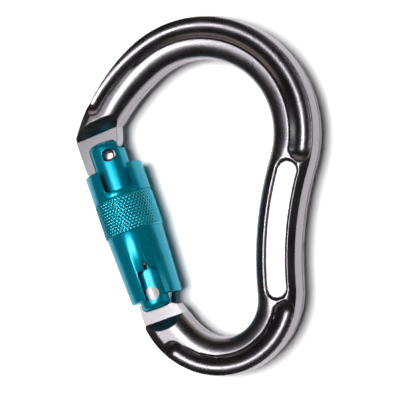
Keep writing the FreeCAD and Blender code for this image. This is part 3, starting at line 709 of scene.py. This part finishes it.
sleeve_blank = turned_mesh("sleeve_blank", [
    (SLEEVE_FOOT, LAND_RADIUS), (SLEEVE_FOOT, SLEEVE_FOOT_RADIUS - 0.3),
    (SLEEVE_FOOT + 0.3, SLEEVE_FOOT_RADIUS), (BAND_FOOT - 0.1, CONE_TOP),
    (BAND_FOOT + 0.05, CONE_TOP - 0.15), (BAND_TOP - 0.05, CONE_TOP - 0.15),
    (BAND_TOP + 0.1, EAR_RADIUS), (EAR_TOP, EAR_RADIUS), (EAR_TOP, EAR_BORE), (27.0, EAR_BORE),
    (27.0, CHAMBER_RADIUS), (LAND_TOP, CHAMBER_RADIUS), (LAND_TOP, LAND_RADIUS),
], closed=True)
upright = Matrix.Rotation(-SLEEVE_REST, 4, "Y")
# a flat leaning 20 degrees in towards the gate, on the outer side of the foot
lean = math.tan(math.radians(20))
relief = [(-6.35 + 3 * lean, -4.5), (-6.35 - 12 * lean, 10.5), (-16, 10.5), (-16, -4.5)]
sleeve_cutters = [
    prism("ear_slot", slot_outline(EAR_SLOT_HALF, EAR_SLOT_FOOT, 43, 1.5, True), 0, 12),
    prism("foot_slot", slot_outline(FOOT_SLOT_HALF, -4, FOOT_SLOT_TOP, 1.2, False), 0, 12),
    prism("wire_notch", [
        (WIRE_NOTCH_HALF, 5),
        *ring_outline(0, WIRE_NOTCH_TOP - WIRE_NOTCH_HALF, WIRE_NOTCH_HALF, 0, 180, 13),
        (-WIRE_NOTCH_HALF, 5),
    ], 0, 12),
    prism("relief", relief, -12, 12, upright),
]
sleeve = machined("sleeve_tube", sleeve_blank, sleeve_cutters, 0.18, teal, "sleeve", "locking_sleeve",
                  TO_ROW @ Matrix.Rotation(SLEEVE_REST, 4, "Y"))

# the knurl's teal is a lighter copy of the sleeve's own teal: painted light on the band
knurl_teal_painted_lighter = worn_metal("teal anodised knurl, painted lighter", (0.0, 0.32, 0.43), (0.0, 0.45, 0.58), (0.2, 0.28), 0.1,
                     metallic=0.8, coat=0.8, edge=(0.3, 0.8, 0.9))
knurl = grown("knurled_band", knurl_tree(), {
    "Band radius": (BAND_RADIUS - 0.02) / 1000,
    "Groove depth": 0.00034,
    "Band foot": BAND_FOOT / 1000,
    "Band length": (BAND_TOP - BAND_FOOT) / 1000,
    "Starts": 54,
    "Samples": 6,
    "Rows": 40,
    "Turn": (0.0, 0.0, GATE_TURN),
    "Place": (GATE_FOOT[0] / 1000, GATE_FOOT[1] / 1000, 0.0),
    "Finish": knurl_teal_painted_lighter,
}, "sleeve")
face_outwards(knurl.data)

# ---------------------------------------------------------------------------------------------
# The two springs, wound from round stainless wire. The small one presses the plunger on the hinge
# tang and shuts the gate; the large one winds up inside the sleeve and turns it back to rest.


def coil_tree():
    """A close helix with a straight leg at each end, swept with round wire."""
    tree, calc = node_tree("wire coil", [
        ("Coil radius", "Float"), ("Wire radius", "Float"), ("Length", "Float"), ("Turns", "Float"),
        ("Leg out to", "Float"), ("Leg in to", "Float"), ("Start", "Vector"), ("Turn", "Vector"),
        ("Place", "Vector"), ("Finish", "Material")])
    link = tree.links.new
    given = tree.nodes.new("NodeGroupInput").outputs
    spiral = tree.nodes.new("GeometryNodeCurveSpiral")
    spiral.inputs["Resolution"].default_value = 40
    link(given["Turns"], spiral.inputs["Rotations"])
    link(given["Length"], spiral.inputs["Height"])
    link(given["Coil radius"], spiral.inputs["Start Radius"])
    link(given["Coil radius"], spiral.inputs["End Radius"])
    join = tree.nodes.new("GeometryNodeJoinGeometry")
    link(spiral.outputs["Curve"], join.inputs["Geometry"])
    for far, height in (("Leg out to", 0.0), ("Leg in to", given["Length"])):
        leg = tree.nodes.new("GeometryNodeCurvePrimitiveLine")
        for socket, reach in (("Start", given["Coil radius"]), ("End", given[far])):
            tip = tree.nodes.new("ShaderNodeCombineXYZ")
            link(reach, tip.inputs["X"])
            link(calc("ADD", height, 0.0), tip.inputs["Z"])
            link(tip.outputs["Vector"], leg.inputs[socket])
        link(leg.outputs["Curve"], join.inputs["Geometry"])
    begin = tree.nodes.new("GeometryNodeTransform")
    link(join.outputs["Geometry"], begin.inputs["Geometry"])
    link(given["Start"], begin.inputs["Rotation"])
    round_wire = tree.nodes.new("GeometryNodeCurvePrimitiveCircle")
    round_wire.inputs["Resolution"].default_value = 14
    link(given["Wire radius"], round_wire.inputs["Radius"])
    drawn = tree.nodes.new("GeometryNodeCurveToMesh")
    drawn.inputs["Fill Caps"].default_value = True
    link(begin.outputs["Geometry"], drawn.inputs["Curve"])
    link(round_wire.outputs["Curve"], drawn.inputs["Profile Curve"])
    close_tree(tree, drawn.outputs["Mesh"], given["Turn"], given["Place"], given["Finish"])
    return tree


coil = coil_tree()
spring_steel = worn_metal("spring wire", (0.50, 0.50, 0.49), (0.64, 0.63, 0.62), (0.25, 0.35), 0.3)
along_gate = (math.radians(-90), 0.0, GATE_TURN)
for name, node, driver, u, foot, radius, wire, length, turns, leg_out, leg_in, start in (
    ("sleeve_coil", "sleeve_spring", "sleeve", 0.0, 8.95, 6.45, 0.5, 16.8, 7.0, 7.85, 4.0, -70),
    ("plunger_coil", "gate_spring", "plunger", 2.2, 9.5, 1.3, 0.26, 12.2, 10.0, 1.2, 1.2, 0),
):
    x, y = at_gate(u, foot)
    spring = grown(name, coil, {
        "Coil radius": radius / 1000,
        "Wire radius": wire / 1000,
        "Length": length / 1000,
        "Turns": turns,
        "Leg out to": leg_out / 1000,
        "Leg in to": leg_in / 1000,
        "Start": (0.0, 0.0, math.radians(start)),
        "Turn": along_gate,
        "Place": (x / 1000, y / 1000, 0.0),
        "Finish": spring_steel,
    }, None)
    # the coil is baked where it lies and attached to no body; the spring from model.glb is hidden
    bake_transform(spring)
    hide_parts(node)

# ---------------------------------------------------------------------------------------------
# The small inner pieces: turned bearing bush, stop pin, snap ring and plunger. They are mostly
# hidden, so their shapes are the construction's own, each in its own metal.

bronze = worn_metal("bearing bronze", (0.46, 0.30, 0.13), (0.58, 0.40, 0.18), (0.25, 0.35), 0.3,
                    lathe=0.008)
turned_steel = worn_metal("turned steel", (0.42, 0.42, 0.42), (0.55, 0.55, 0.55), (0.28, 0.38), 0.4,
                          lathe=0.008)
for name, finish in (("stop_bush", bronze), ("stop_pin", turned_steel), ("gate_plunger", turned_steel),
                     ("retaining_ring", spring_steel)):
    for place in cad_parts[name].material_slots:
        place.material = finish

# ---------------------------------------------------------------------------------------------
# The pale table, the soft studio lights and the camera. Small cards far overhead and at the sides
# put the streaks of light on the metal; a soft high wash lights the table and the coloured parts.

pale = bpy.data.materials.new("pale table")
pale.use_nodes = True
pale_shader = pale.node_tree.nodes["Principled BSDF"]
pale_shader.inputs["Base Color"].default_value = (0.93, 0.93, 0.93, 1)
pale_shader.inputs["Roughness"].default_value = 0.7
# the table touches the sleeve, the lowest part of the clip in its own level frame
bpy.ops.mesh.primitive_plane_add(size=6, location=(0, 0, -0.0092))
table = bpy.context.object
table.name = "table"
table.data.materials.append(pale)

world = bpy.data.worlds.new("studio")
world.use_nodes = True
room, connect = world.node_tree.nodes, world.node_tree.links.new
around, height = room.new("ShaderNodeTexCoord"), room.new("ShaderNodeSeparateXYZ")
tint = room.new("ShaderNodeMix")
tint.data_type = "RGBA"
tint.inputs["A"].default_value = (0.06, 0.047, 0.042, 1)
tint.inputs["B"].default_value = (0.010, 0.009, 0.013, 1)
connect(around.outputs["Generated"], height.inputs["Vector"])
connect(height.outputs["Z"], tint.inputs["Factor"])
connect(tint.outputs["Result"], room["Background"].inputs["Color"])
bpy.context.scene.world = world


def soft_light(name, place, aim, size, glow, seen_in_metal, colour=(1, 1, 1)):
    """An area light of given brightness; it shows in the metals or lights the table, not both."""
    lamp = bpy.data.lights.new(name, "AREA")
    lamp.shape = "RECTANGLE"
    lamp.size, lamp.size_y = size
    lamp.energy = math.pi * size[0] * size[1] * glow
    lamp.color = colour
    lit = bpy.data.objects.new(name, lamp)
    lit.location = place
    lit.rotation_euler = (Vector(aim) - Vector(place)).to_track_quat("-Z", "Y").to_euler()
    lit.visible_camera = False
    lit.visible_glossy = seen_in_metal
    lit.visible_diffuse = not seen_in_metal
    bpy.context.collection.objects.link(lit)


soft_light("key", (-0.122, -0.0175, 0.6), (-0.122, -0.0175, 0), (0.205, 0.145), 12.0, True)
soft_light("foot strip", (-0.29, -0.08, 0.6), (-0.29, -0.08, 0), (0.07, 0.05), 9.0, True)
soft_light("right card", (0.30, -0.02, 0.04), (0, -0.02, 0), (0.04, 0.30), 1.6, True)
soft_light("warm wall", (0.10, 0.50, 0.09), (0, 0, 0), (0.90, 0.15), 0.6, True, (1.0, 0.86, 0.74))
soft_light("overhead wash", (-0.04, 0.03, 1.3), (0, 0, 0), (0.6, 0.6), 23, False)

VIEW_LEAN, VIEW_TURN, VIEW_FAR = 20.6, -7.65, 0.429
camera = bpy.data.objects.new("camera", bpy.data.cameras.new("camera"))
stand = (Matrix.Translation((-0.00366, -0.01898, 0)) @ Matrix.Rotation(math.radians(VIEW_TURN), 4, "Z")
         @ Matrix.Rotation(math.radians(VIEW_LEAN), 4, "Y"))
camera.matrix_world = stand @ Matrix.Translation((0, 0, VIEW_FAR))
camera.data.lens = 129.8
camera.data.sensor_width = 36
bpy.context.collection.objects.link(camera)
bpy.context.scene.camera = camera
bpy.context.scene.view_settings.view_transform = "Standard"

bpy.context.view_layer.update()
